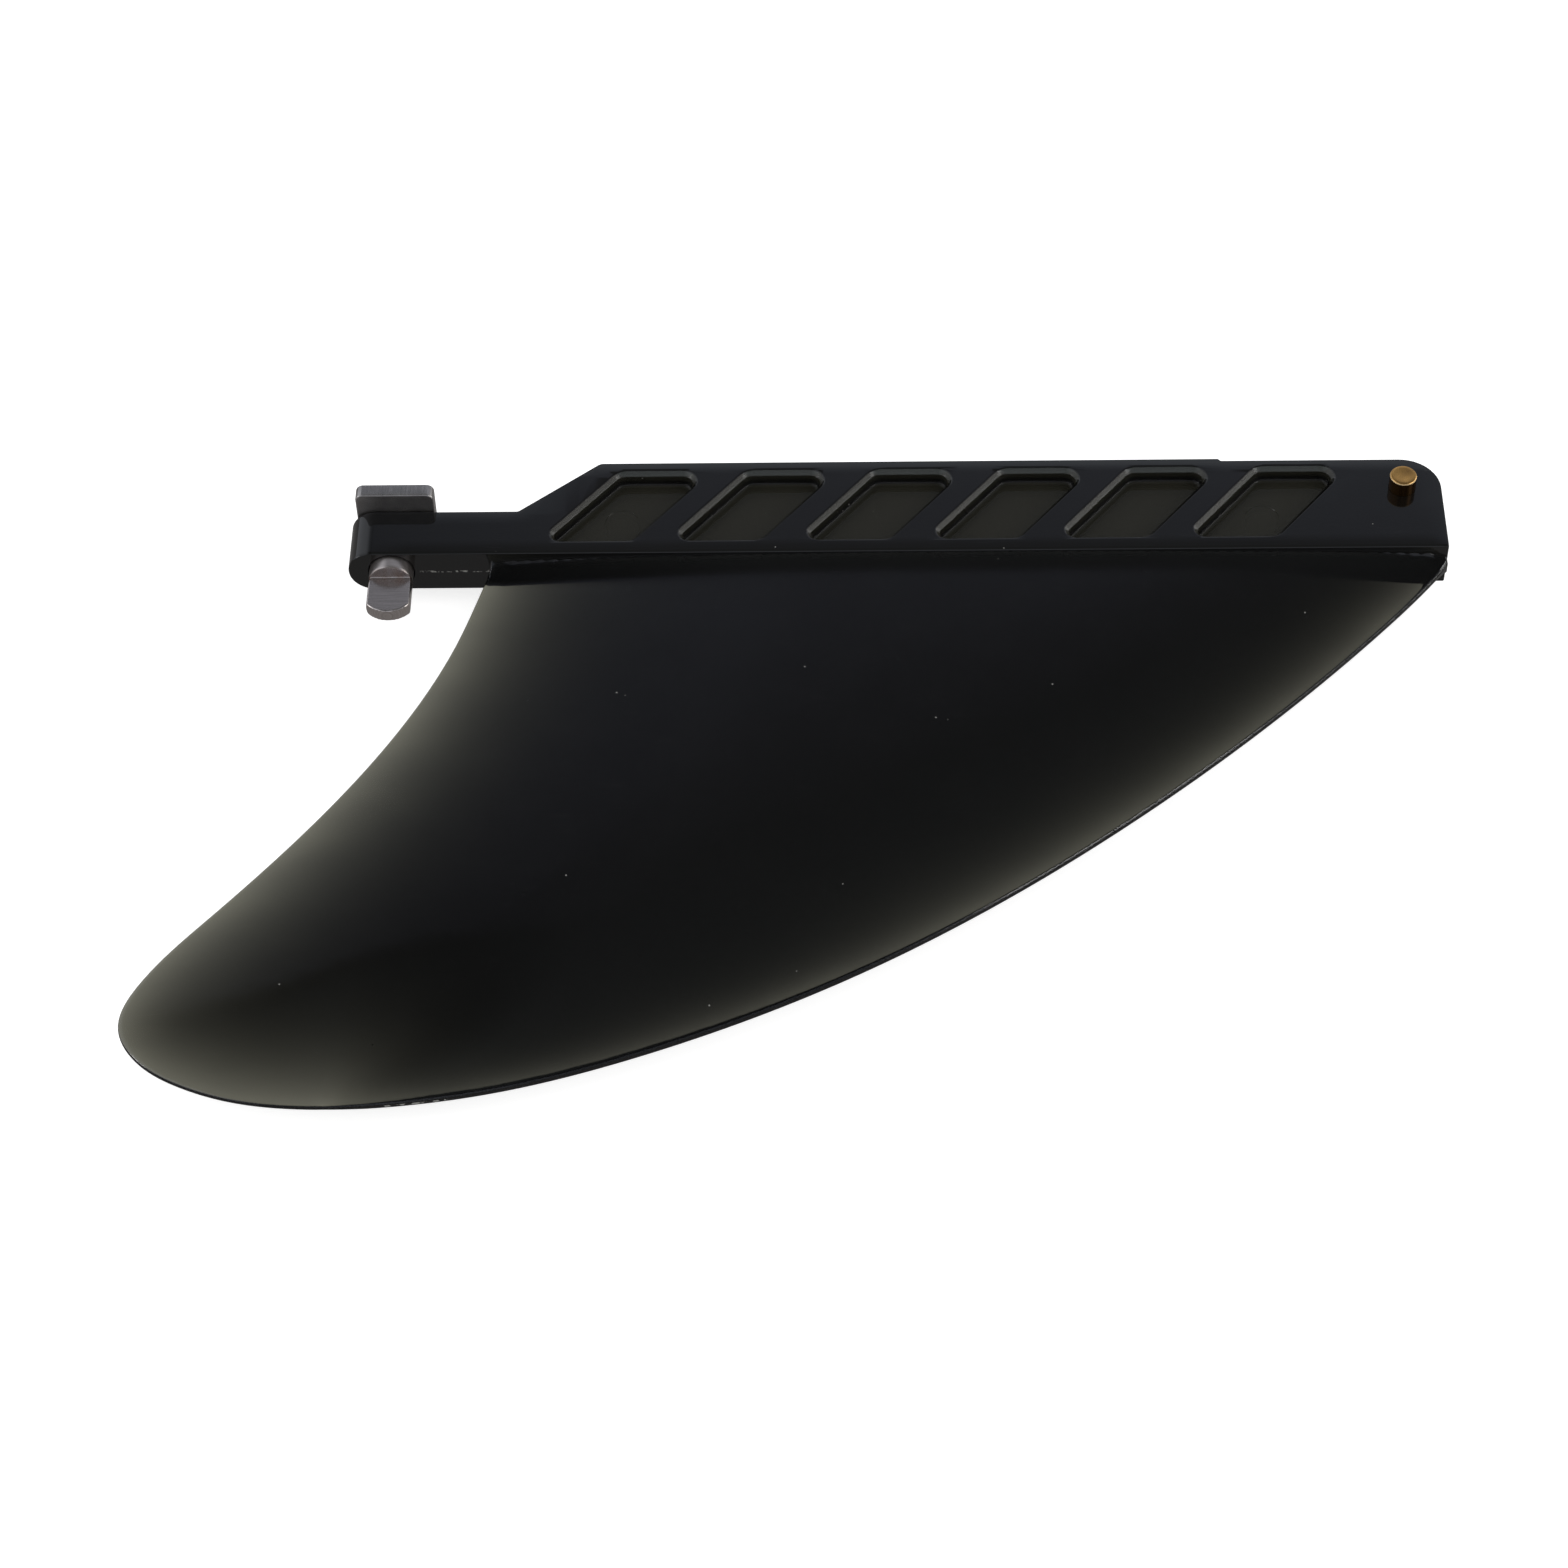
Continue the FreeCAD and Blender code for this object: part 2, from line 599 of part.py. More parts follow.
os.makedirs("parts", exist_ok=True)
for item in doc.Objects:
    if "Invalid" in item.State or "Error" in item.State:
        raise RuntimeError("%s did not build" % item.Name)
for body in (fin, pin, screw, plate):
    if body.Shape.isNull() or not body.Shape.isValid() or len(body.Shape.Solids) != 1:
        raise RuntimeError("%s is not one sound solid" % body.Label)
    body.Shape.exportStep("parts/%s.step" % body.Label)
    print(body.Label, round(body.Shape.Volume, 1), body.Shape.BoundBox)
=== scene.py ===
import math

import bmesh
import bpy
import numpy as np
from mathutils import Matrix, Vector, geometry


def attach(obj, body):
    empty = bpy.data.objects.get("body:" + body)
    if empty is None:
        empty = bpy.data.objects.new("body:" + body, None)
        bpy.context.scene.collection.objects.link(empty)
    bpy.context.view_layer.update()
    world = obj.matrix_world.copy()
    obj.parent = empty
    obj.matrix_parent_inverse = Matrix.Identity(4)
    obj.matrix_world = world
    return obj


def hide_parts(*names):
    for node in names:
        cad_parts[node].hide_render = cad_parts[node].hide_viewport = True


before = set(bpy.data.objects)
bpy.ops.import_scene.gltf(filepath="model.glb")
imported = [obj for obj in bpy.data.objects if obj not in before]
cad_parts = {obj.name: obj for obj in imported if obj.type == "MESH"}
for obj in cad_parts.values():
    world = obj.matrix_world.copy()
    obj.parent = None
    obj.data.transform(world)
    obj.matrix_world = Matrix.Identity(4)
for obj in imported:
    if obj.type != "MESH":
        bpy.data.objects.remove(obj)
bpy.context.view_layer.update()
mm = 0.001

# shader helpers


class Wire:  # one socket, so that shader maths reads as an expression
    def __init__(self, finish, socket):
        self.finish = finish
        self.socket = socket

    def maths(self, operation, first, second):
        return self.finish.node("ShaderNodeMath", {"operation": operation}, {0: first, 1: second})

    def __add__(self, other):
        return self.maths("ADD", self, other)

    def __radd__(self, other):
        return self.maths("ADD", other, self)

    def __sub__(self, other):
        return self.maths("SUBTRACT", self, other)

    def __rsub__(self, other):
        return self.maths("SUBTRACT", other, self)

    def __mul__(self, other):
        return self.maths("MULTIPLY", self, other)

    def __rmul__(self, other):
        return self.maths("MULTIPLY", other, self)

    def __pow__(self, other):
        return self.maths("POWER", self, other)

    def __rpow__(self, other):
        return self.maths("POWER", other, self)

    def __mod__(self, other):
        return self.maths("MODULO", self, other)

    def __rmod__(self, other):
        return self.maths("MODULO", other, self)


class Finish:  # one material or the world, and its nodes
    def __init__(self, name, tree=None):
        if tree is None:
            self.material = bpy.data.materials.new(name)
            self.material.use_nodes = True
            tree = self.material.node_tree
        tree.nodes.clear()
        self.tree = tree

    def node(self, kind, settings=None, sockets=None, output=0):
        made = self.tree.nodes.new(kind)
        for key, value in (settings or {}).items():
            if key == "stops":
                ramp = made.color_ramp
                while len(ramp.elements) < len(value):
                    ramp.elements.new(0.5)
                for element, (place, shade) in zip(ramp.elements, value):
                    element.position = place
                    plain = isinstance(shade, (int, float))
                    element.color = (shade, shade, shade, 1) if plain else (*shade, 1)
            else:
                setattr(made, key, value)
        for key, value in (sockets or {}).items():
            target = made.inputs[key]
            if isinstance(value, Wire):
                self.tree.links.new(value.socket, target)
            else:
                target.default_value = value
        return Wire(self, made.outputs[output])

    def sink(self, kind, sockets):
        made = self.tree.nodes.new(kind)
        for key, value in sockets.items():
            self.tree.links.new(value.socket, made.inputs[key])


# mesh helpers


def newPiece(name, mesh):
    piece = bpy.data.objects.new(name, mesh)
    bpy.context.scene.collection.objects.link(piece)
    return piece


def meshOf(points, faces, name):
    mesh = bpy.data.meshes.new(name)
    mesh.from_pydata([tuple(p) for p in points], [], faces)
    mesh.validate()
    return mesh


def faceOut(mesh):  # turns every face's normal outwards
    body = bmesh.new()
    body.from_mesh(mesh)
    bmesh.ops.recalc_face_normals(body, faces=body.faces)
    body.to_mesh(mesh)
    body.free()
    return mesh


def joined(meshes, name):  # one piece from several separate meshes
    body = bmesh.new()
    for part in meshes:
        body.from_mesh(part)
    mesh = bpy.data.meshes.new(name)
    body.to_mesh(mesh)
    body.free()
    return newPiece(name, mesh)


def applyModifiers(piece):
    bpy.context.view_layer.update()
    evaluated = piece.evaluated_get(bpy.context.evaluated_depsgraph_get())
    mesh = bpy.data.meshes.new_from_object(evaluated)
    piece.modifiers.clear()
    piece.data = mesh
    return piece


def cut(piece, cutter, operation="DIFFERENCE"):
    change = piece.modifiers.new("cut", "BOOLEAN")
    change.operation = operation
    change.solver = "EXACT"
    change.object = cutter
    applyModifiers(piece)
    bpy.data.objects.remove(cutter)
    return piece


def sharpEdges(body, degrees):
    return [edge for edge in body.edges if edge.calc_face_angle(0) > math.radians(degrees)]


def bevel(body, edges, offset, segments, clamp=False):
    bmesh.ops.bevel(body, geom=edges, offset=offset * mm, segments=segments, profile=0.5,
                    affect="EDGES", clamp_overlap=clamp)


def smooth(piece, angle):
    piece.data.shade_smooth()
    piece.data.set_sharp_from_angle(angle=math.radians(angle))
    change = piece.modifiers.new("normals", "WEIGHTED_NORMAL")
    change.keep_sharp = True
    return piece


def flatten(piece, levels):  # faces that lie at these heights shade as true planes
    close = 0.0005
    mesh = applyModifiers(piece).data
    normals = [tuple(corner.vector) for corner in mesh.corner_normals]
    for face in mesh.polygons:
        heights = [abs(mesh.vertices[v].co.z) / mm for v in face.vertices]
        if any(max(abs(height - level) for height in heights) < close for level in levels):
            for corner in face.loop_indices:
                normals[corner] = tuple(face.normal)
    mesh.normals_split_custom_set(normals)


def stack(loops, name):  # closed skin through loops of equal count, capped at both ends
    count = len(loops[0])
    points = [p for loop in loops for p in loop]
    faces = []
    for low in range(0, (len(loops) - 1) * count, count):
        high = low + count
        for k in range(count):
            after = (k + 1) % count
            faces.append([low + k, low + after, high + after, high + k])
    faces.append(list(reversed(range(count))))
    faces.append([(len(loops) - 1) * count + k for k in range(count)])
    return faceOut(meshOf(points, faces, name))


def circle(x, y, z, radius, count):
    return [((x + math.cos(t) * radius) * mm, (y + math.sin(t) * radius) * mm, z * mm)
            for t in np.linspace(0, 2 * math.pi, count, False)]


def roundCorners(corners, radii, steps):  # corner points of a flat outline, each with its round
    outline = []
    for k, corner in enumerate(corners):
        here = Vector(corner)
        before, after = Vector(corners[k - 1]), Vector(corners[(k + 1) % len(corners)])
        radius = radii[k]
        if not radius:
            outline.append(here)
            continue
        u, v = (before - here).normalized(), (after - here).normalized()
        half = u.angle(v) / 2
        centre = here + (u + v).normalized() * (radius / math.sin(half))
        reach = radius / math.tan(half)
        first, last = here + u * reach - centre, here + v * reach - centre
        turn = first.angle_signed(last)
        for step in range(steps + 1):
            outline.append(centre + Matrix.Rotation(-turn * step / steps, 2) @ first)
    return outline


def lathe(profile, segments, name, radiusAt=None):  # profile of (along, radius), turned about Y
    loops = []
    for along, radius in profile:
        loop = []
        for k in range(segments):
            turn = 2 * math.pi * k / segments
            r = radiusAt(along, radius, turn) if radiusAt else radius
            loop.append((r * math.cos(turn) * mm, along * mm, -r * math.sin(turn) * mm))
        loops.append(loop)
    return stack(loops, name)


# fin moulding: base and blade in one piece

finBase = {
    "length": 193.5,
    "half": 4.6,
    "height": 22.0,
    "topStep": 0.5,
    "topStepAt": 154.4,
    "stepRound": 0.3,
    "armHeight": 10.3,
    "armRound": 4.55,
    "shoulder": (29.8, 44.0),
    "shoulderRounds": (1.8, 1.0),  # at the top, at the arm
    "noseRound": 7.0,
    "edgeRound": 0.4,
    "crownReach": 3.0,
    "crownSlope": 0.036,
    "crownStart": 4.0,  # length past the arm's round in which the crown sets in
    "crownRows": (0.6, 1.1, 1.7, 2.4, 3.2, 7.0, 7.8, 8.5, 9.1, 9.6, 18.4, 19.1, 19.8, 20.4, 20.9, 21.4),
    "crownColumns": ((8, 60, 2.5), (60, 180, 6), (180, 193, 1.2)),  # from, to, step
    "pocketCount": 6,
    "pocketStart": 34.95,
    "pocketPitch": 22.7,
    "pocketWidth": 15.1,
    "pocketFoot": 3.5,
    "pocketTop": 19.3,
    "pocketSlant": math.radians(51),
    "pocketRounds": (1.3, 2.2, 2.0, 2.6),  # lower rear, lower front, upper front, upper rear
    "pocketRim": 0.85,
    "rimEase": 0.12,
    "pocketFloor": 1.55,
    "floorRound": 0.75,
    "markAlong": 13.2,
    "markHeight": 10.1,
    "markRadius": 3.0,
    "markTaper": 0.1,
    "markDepth": 0.12,
    "pin": (186.5, 14.5),
    "pinBore": 2.42,
    "screwAt": 7.65,
    "seat": (4.15, 3.5),  # counterbore for the screw's head: radius, depth
    "shankBore": 2.08,
}
beyond = 0.01  # what a cutter stands over a face that it opens
clear = 1  # what a cutter's far end stands out


def crown(body, outline):  # side faces fall a little towards their edges, as on the moulding
    b = finBase
    lines = [((0, y * mm, 0), (0, 1, 0)) for y in b["crownRows"]]
    lines += [((x * mm, 0, 0), (1, 0, 0)) for first, last, step in b["crownColumns"]
              for x in np.arange(first, last, step)]
    for where, facing in lines:
        everything = body.verts[:] + body.edges[:] + body.faces[:]
        bmesh.ops.bisect_plane(body, geom=everything, plane_co=where, plane_no=facing, dist=1e-6)
    starts = np.array([tuple(p) for p in outline])
    runs = np.roll(starts, -1, 0) - starts
    reach, edge = b["crownReach"], b["edgeRound"]
    for vert in body.verts:
        if abs(vert.co.z) < (b["half"] - edge - 0.01) * mm:
            continue
        here = np.array(vert.co[:2]) / mm
        part = np.clip(((here - starts) * runs).sum(1) / (runs ** 2).sum(1), 0, 1)
        inside = np.sqrt(((starts + runs * part[:, None] - here) ** 2).sum(1)).min()
        left = max(reach - max(inside, edge), 0)
        fall = b["crownSlope"] * left ** 2 / (2 * (reach - edge))
        share = min(max((vert.co.x / mm - b["armRound"]) / b["crownStart"], 0), 1)
        vert.co.z -= math.copysign(fall * share * mm, vert.co.z)


def baseShell():
    b = finBase
    low = b["height"] - b["topStep"]
    corners = [
        (0, 0), (b["length"], 0), (b["length"], low),
        (b["topStepAt"] + b["topStep"], low), (b["topStepAt"], b["height"]),
        (b["shoulder"][1], b["height"]), (b["shoulder"][0], b["armHeight"]), (0, b["armHeight"]),
    ]
    radii = [0, 0, b["noseRound"], b["stepRound"], b["stepRound"], *b["shoulderRounds"], 0]
    outline = roundCorners(corners, radii, 12)
    loops = [[(p.x * mm, p.y * mm, z * mm) for p in outline] for z in (-b["half"], b["half"])]
    mesh = stack(loops, "finBase")
    body = bmesh.new()
    body.from_mesh(mesh)
    ends = [edge for edge in body.edges if all(abs(v.co.x) < 1e-6 for v in edge.verts)
            and abs(edge.verts[0].co.z - edge.verts[1].co.z) < 1e-6]
    bevel(body, ends, b["armRound"], 14, True)
    bevel(body, sharpEdges(body, 40), b["edgeRound"], 3, True)
    crown(body, outline)
    body.to_mesh(mesh)
    body.free()
    return newPiece("finBase", mesh)


def pocketLoop(number, grow, z):  # a pocket's outline, grown by so much, at a height
    b = finBase
    slant, low, high = b["pocketSlant"], b["pocketFoot"], b["pocketTop"]
    lean = (high - low) / math.tan(slant)
    side, shift = grow / math.sin(slant), grow / math.tan(slant)
    rear = b["pocketStart"] + b["pocketPitch"] * number
    front = rear + b["pocketWidth"]
    corners = [
        (rear - side - shift, low - grow),
        (front + side - shift, low - grow),
        (front + lean + side + shift, high + grow),
        (rear + lean - side + shift, high + grow),
    ]
    loop = roundCorners(corners, [radius + grow for radius in b["pocketRounds"]], 8)
    return [(p.x * mm, p.y * mm, z * mm) for p in loop]


def pocketLevels():  # growth and height of a pocket's loops: floor fillet, wall, eased bevel
    b = finBase
    floor, fillet, half = b["pocketFloor"], b["floorRound"], b["half"]
    rim, ease = b["pocketRim"], b["rimEase"]
    levels = [(-fillet * (1 - math.sin(t)), floor + fillet * (1 - math.cos(t)))
              for t in np.linspace(0, math.pi / 2, 5)]
    levels += [(0, half - rim - ease), (0.25 * ease, half - rim), (ease, half - rim + ease)]
    levels += [(rim - ease, half - ease), (rim, half - 0.3 * ease)]
    levels += [(rim + ease, half + beyond), (rim + ease, half + clear)]
    return levels


def baseCutters():
    b = finBase
    levels = pocketLevels()
    meshes = []
    for number in range(b["pocketCount"]):
        for side in (1, -1):
            loops = [pocketLoop(number, grow, z * side) for grow, z in levels]
            meshes.append(stack(loops, "pocket"))
    reach = b["half"] + 1.4
    meshes.append(stack([circle(*b["pin"], z, b["pinBore"], 64) for z in (-reach, reach)], "pinHole"))
    (radius, depth), bore = b["seat"], b["shankBore"]
    steps = [(-clear, radius), (depth, radius), (depth, bore), (b["armHeight"] + clear, bore)]
    turned = lathe(steps, 64, "screwHole")
    turned.transform(Matrix.Translation((b["screwAt"] * mm, 0, 0)))
    return joined(meshes + [turned], "cutters")


def ejectorCutter():  # round marks in the first and last pocket floors, both sides
    b = finBase
    floor, radius = b["pocketFloor"], b["markRadius"]
    levels = [(floor - b["markDepth"], radius - b["markTaper"])]
    levels += [(floor + beyond, radius), (floor + clear, radius)]
    meshes = []
    for number in (0, b["pocketCount"] - 1):
        x = b["pocketStart"] + b["pocketPitch"] * number + b["markAlong"]
        for side in (1, -1):
            loops = [circle(x, b["markHeight"], z * side, r, 48) for z, r in levels]
            meshes.append(stack(loops, "mark"))
    return joined(meshes, "marks")


finBlade = {
    "rootRear": 25.3,
    "frontDrop": 0.9,
    # trailing edge and tip: along the base, depth below the root
    "trailing": [(24.0, 4.6), (20.6, 16.4), (11.9, 36.6), (-1.3, 57.7), (-17.2, 78.1), (-26.9, 91.2),
                 (-29.5, 100.1), (-25.5, 107.2), (-18.6, 111.7), (-10.4, 114.6), (0.9, 116.1)],
    "leading": [(16.7, 115.5), (32.4, 112.9), (54.5, 106.1), (87.3, 91.2), (108.9, 78.1), (136.3, 57.7),
                (160.3, 36.6), (180.3, 16.4), (190.6, 4.6)],
    "rearEdge": 0.42,
    "rearLead": 1.5,
    "rearRise": (3.2, 80.0, 2.15),  # rise of the half thickness, its reach and its fullness
    "frontEdge": 0.72,
    "frontRise": (3.0, 60.0, 3.0),
    "tipFrom": (72, 30, 0.55),  # the front fills out sooner below this depth, over so much, by this share
    "meet": 1.2,  # the two sides' rises meet in a line this soft
    "flareDepth": 3.8,
    "flare": (2.6, 112.0, 4.1, 2.8),  # half thickness behind, thickest line, there, in front
    "roof": 2.5,  # the blade's root stands this far inside the base
    "noseGap": 0.35,  # and ends this far behind the base's front face
    "roofStep": 2.4,
    "edgeRound": (0.8, 0.5),  # share of the half thickness, most
    "borders": (0.9, 1.6),  # loops inside the edge before the grid starts
    "grid": 2.4,
    "gridClear": 0.9,
    "gridAlong": (-32, 196),
    "gridDown": (-8, -118),
    "rootRows": (0.5, 0.1, -0.15, -0.5, -1.0, -1.6, -2.4, -3.3, -4.4, -6.0),  # finer where the flare is
}


def smoothThrough(points, spacing):  # natural cubic through the points, in even steps
    points = np.array(points, float)
    knots = np.r_[0, np.cumsum(np.linalg.norm(np.diff(points, axis=0), axis=1))]
    count, gaps = len(points), np.diff(knots)
    slopes = np.diff(points, axis=0) / gaps[:, None]
    system, right = np.eye(count), np.zeros((count, 2))
    for k in range(1, count - 1):
        system[k, k - 1:k + 2] = gaps[k - 1], 2 * (gaps[k - 1] + gaps[k]), gaps[k]
        right[k] = 6 * (slopes[k] - slopes[k - 1])
    bend = np.linalg.solve(system, right)
    fine = np.linspace(0, knots[-1], 4000)
    part = np.clip(np.searchsorted(knots, fine, side="right") - 1, 0, count - 2)
    g, a, c = gaps[part, None], (knots[part + 1] - fine)[:, None], (fine - knots[part])[:, None]
    curve = (bend[part] * a ** 3 + bend[part + 1] * c ** 3) / (6 * g)
    curve += (points[part] / g - bend[part] * g / 6) * a
    curve += (points[part + 1] / g - bend[part + 1] * g / 6) * c
    length = np.r_[0, np.cumsum(np.linalg.norm(np.diff(curve, axis=0), axis=1))]
    even = np.linspace(0, length[-1], int(length[-1] / spacing) + 1)
    return np.c_[np.interp(even, length, curve[:, 0]), np.interp(even, length, curve[:, 1])]


def reachTo(points, line):
    return np.sqrt(((points[:, None, :] - line[None, :, :]) ** 2).sum(2)).min(1)


def risen(edge, rise, inside):  # half thickness so far inside an edge
    height, reach, full = rise
    return edge + height * (1 - (1 - np.clip(inside / reach, 0, 1)) ** full)


def bladeHalf(points, rearLine, frontLine):  # half thickness of the blade at flat points
    s = finBlade
    x, down = points[:, 0], -points[:, 1]
    rear = risen(s["rearEdge"], s["rearRise"], reachTo(points, rearLine) + s["rearLead"])
    depth, over, gain = s["tipFrom"]
    tipward = np.clip((down - depth) / over, 0, 1)
    front = risen(s["frontEdge"], s["frontRise"], reachTo(points, frontLine) * (1 + gain * tipward))
    blend = np.clip(0.5 + (front - rear) / s["meet"], 0, 1)
    half = front * (1 - blend) + rear * blend - s["meet"] / 2 * blend * (1 - blend)
    rearFlare, widestAt, widest, frontFlare = s["flare"]
    behind = x < widestAt
    span = np.where(behind, widestAt - s["rootRear"], finBase["length"] - widestAt)
    ends = np.where(behind, rearFlare, frontFlare)
    flare = widest - (widest - ends) * np.clip(abs(x - widestAt) / span, 0, 1.2) ** 2
    share = np.clip(down / s["flareDepth"], 0, 1)
    left = 1 - np.sqrt(np.clip(1 - (1 - share) ** 2, 0, 1))
    return half + np.maximum(flare - half, 0) * left


def inwardOf(ring):  # directions into a closed flat outline, one at each of its points
    ahead, behind = np.roll(ring, -1, 0) - ring, ring - np.roll(ring, 1, 0)
    ahead /= np.linalg.norm(ahead, axis=1)[:, None]
    behind /= np.linalg.norm(behind, axis=1)[:, None]
    along = ahead + behind
    along /= np.linalg.norm(along, axis=1)[:, None]
    return np.c_[-along[:, 1], along[:, 0]]


def gridWithin(border):  # staggered grid points that lie inside the outline and clear of it
    s = finBlade
    step = s["grid"]
    rows = [*s["rootRows"], *np.arange(*s["gridDown"], -step)]
    grid = np.array([(x + (step / 2 if n % 2 else 0), y) for n, y in enumerate(rows)
                     for x in np.arange(*s["gridAlong"], step)])
    x, y = grid.T
    within = np.zeros(len(grid), bool)
    for (x0, y0), (x1, y1) in zip(border, np.roll(border, -1, 0)):
        crossing = (y0 > y) != (y1 > y)
        if abs(y1 - y0) > 1e-9:
            within ^= crossing & (x < (x1 - x0) * (y - y0) / (y1 - y0) + x0)
    return grid[(reachTo(grid, border) > s["gridClear"]) & within]


def bladeShell():
    s = finBlade
    length, rear, roof = finBase["length"], s["rootRear"], s["roof"]
    marks = [(rear, 0)] + [(x, -y) for x, y in s["trailing"] + s["leading"]] + [(length, -s["frontDrop"])]
    edge = smoothThrough(marks, 1.0)
    tip = int(np.argmin(edge[:, 1]))
    lines = edge[:tip + 1], edge[tip:]
    inside = length - s["noseGap"]
    closing = [(x, roof) for x in (inside, *np.arange(inside - 2, rear + 1, -s["roofStep"]), rear)]
    ring = np.vstack([edge, closing])
    inward = inwardOf(ring)
    rim = bladeHalf(ring, *lines)
    share, most = s["edgeRound"]
    roundness = np.minimum(rim * share, most)
    loops = []
    for turn in np.linspace(0, math.pi / 2, 5):
        flat = ring + inward * (roundness * (1 - math.cos(turn)))[:, None]
        loops.append(np.c_[flat, rim - roundness * (1 - math.sin(turn))])
    loops[-1][:, 2] = bladeHalf(loops[-1][:, :2], *lines)
    for offset in s["borders"]:
        flat = ring + inward * offset
        loops.append(np.c_[flat, bladeHalf(flat, *lines)])
    border = loops.pop()[:, :2]
    count = len(ring)
    edges = [(k, (k + 1) % count) for k in range(count)]
    inner = [Vector(p) for p in (*border, *gridWithin(border))]
    flat, _, faces, *_ = geometry.delaunay_2d_cdt(inner, edges, [], 1, 1e-6)
    flat = np.array([tuple(p) for p in flat])
    sheet = np.c_[flat, bladeHalf(flat, *lines)]
    points, skin = [], []
    for side in (1, -1):
        start = len(points)
        for level in (*loops, sheet):
            points += [(x * mm, y * mm, side * z * mm) for x, y, z in level]
        for row in range(len(loops)):
            low = start + row * count
            high = low + count
            for k in range(count):
                after = (k + 1) % count
                quad = [low + k, low + after, high + after, high + k]
                skin.append(quad if side > 0 else quad[::-1])
        last = start + len(loops) * count
        skin += [[last + k for k in (face if side > 0 else reversed(face))] for face in faces]
    other = len(points) // 2
    for k in range(count):
        after = (k + 1) % count
        skin.append([k, other + k, other + after, after])
    return newPiece("finBlade", faceOut(meshOf(points, skin, "finBlade")))


print("fin moulding")
fin = baseShell()
cut(fin, baseCutters())
cut(fin, ejectorCutter())
cut(fin, bladeShell(), "UNION")
fin.name = "finMoulding"
smooth(fin, 32)
flatten(fin, (finBase["half"], finBase["pocketFloor"]))
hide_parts("fin_body")
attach(fin, "fin")

# brass cross pin

crossPin = {
    "at": finBase["pin"],
    "radius": 2.38,
    "half": 7.6,
    "round": 0.35,
    "dish": 0.03,
    "face": ((0.05, 1.7), (0.5, 1.6), (1.2, 1.0), (1.7, 0.0)),  # radius, depth as a share of the dish
    "sideRows": (4.9, 4.3),  # loops just outside and just inside the moulding
}


def pinMesh():
    c = crossPin
    half, radius, edge = c["half"], c["radius"], c["round"]
    profile = [(half - c["dish"] * share, r) for r, share in c["face"]]
    profile += [(half - edge * (1 - math.sin(t)), radius - edge * (1 - math.cos(t)))
                for t in np.linspace(0, math.pi / 2, 6)[::-1]]
    profile += [(row, radius) for row in c["sideRows"]]
    mesh = lathe([(-along, r) for along, r in profile] + profile[::-1], 72, "crossPin")
    mesh.transform(Matrix.Rotation(math.radians(90), 4, "X"))
    mesh.transform(Matrix.Translation((c["at"][0] * mm, c["at"][1] * mm, 0)))
    return mesh


print("cross pin")
pin = smooth(newPiece("crossPin", pinMesh()), 40)
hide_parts("cross_pin")
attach(pin, "fin")

# thumb screw with its thread, thumb flats and domed end

thumbScrew = {
    "at": finBase["screwAt"],
    "headRadius": 3.9,
    "headTop": 3.48,
    "topEdge": (0.25, 0.08),
    "flatFrom": -2.65,
    "flatHalf": 1.3,
    "sideEnd": -8.85,
    "sideRows": (-6.5, -4.5, -2.0, 0.5),
    "end": -10.7,
    "domeRows": (0.01, 0.12, 0.25, 0.38, 0.5, 0.62, 0.75, 0.88, 1.0),  # shares of the dome's tilt
    "edge": 0.2,
    "bevelBelow": 3.0,
    "shankRadius": 2.0,
    "shankFrom": 1.98,
    "shankTop": 18.0,
    "shankEnd": ((0.34, 0.02), (0.08, 0.3), (0.0, 0.42)),  # below the top, off the radius
    "threadFrom": 4.4,
    "threadTo": 17.5,
    "threadFade": (0.9, 0.5),
    "threadFlank": (2.6, 0.15),  # steepness of the flanks, share of the flat root
    "pitch": 0.7,
    "threadDepth": 0.36,
}


def threadRadius(along, radius, turn):
    s = thumbScrew
    if along < s["threadFrom"] or along > s["threadTo"]:
        return radius
    runIn, runOut = s["threadFade"]
    fade = min(1, (along - s["threadFrom"]) / runIn, (s["threadTo"] - along) / runOut)
    phase = (along / s["pitch"] - turn / (2 * math.pi)) % 1
    steep, flat = s["threadFlank"]
    tooth = min(1, max(0, abs(phase - 0.5) * steep - flat))
    return radius - s["threadDepth"] * fade * (1 - tooth)


def headMesh():
    s = thumbScrew
    radius, top = s["headRadius"], s["headTop"]
    sag = s["sideEnd"] - s["end"]
    sphere = (radius ** 2 + sag ** 2) / (2 * sag)
    tilt = math.asin(radius / sphere)
    profile = [(s["end"] + sphere * (1 - math.cos(tilt * t)), sphere * math.sin(tilt * t))
               for t in s["domeRows"]]
    wide, narrow = s["topEdge"]
    profile += [(y, radius) for y in (*s["sideRows"], top - wide)]
    profile += [(top - narrow, radius - narrow), (top, radius - wide), (top, 0.05)]
    head = newPiece("head", lathe(profile, 80, "head"))
    outer = 6  # past the head's side on every hand
    ring = [(-outer, s["flatHalf"]), (outer, s["flatHalf"]), (outer, outer), (-outer, outer)]
    for side in (1, -1):
        loops = [[(x * mm, y * mm, side * z * mm) for x, z in ring]
                 for y in (s["end"] - clear, s["flatFrom"])]
        cut(head, newPiece("flat", stack(loops, "flat")))
    body = bmesh.new()
    body.from_mesh(head.data)
    bmesh.ops.remove_doubles(body, verts=body.verts, dist=0.01 * mm)
    low = [edge for edge in sharpEdges(body, 28) if edge.verts[0].co.y < s["bevelBelow"] * mm]
    bevel(body, low, s["edge"], 2)
    body.to_mesh(head.data)
    body.free()
    return head


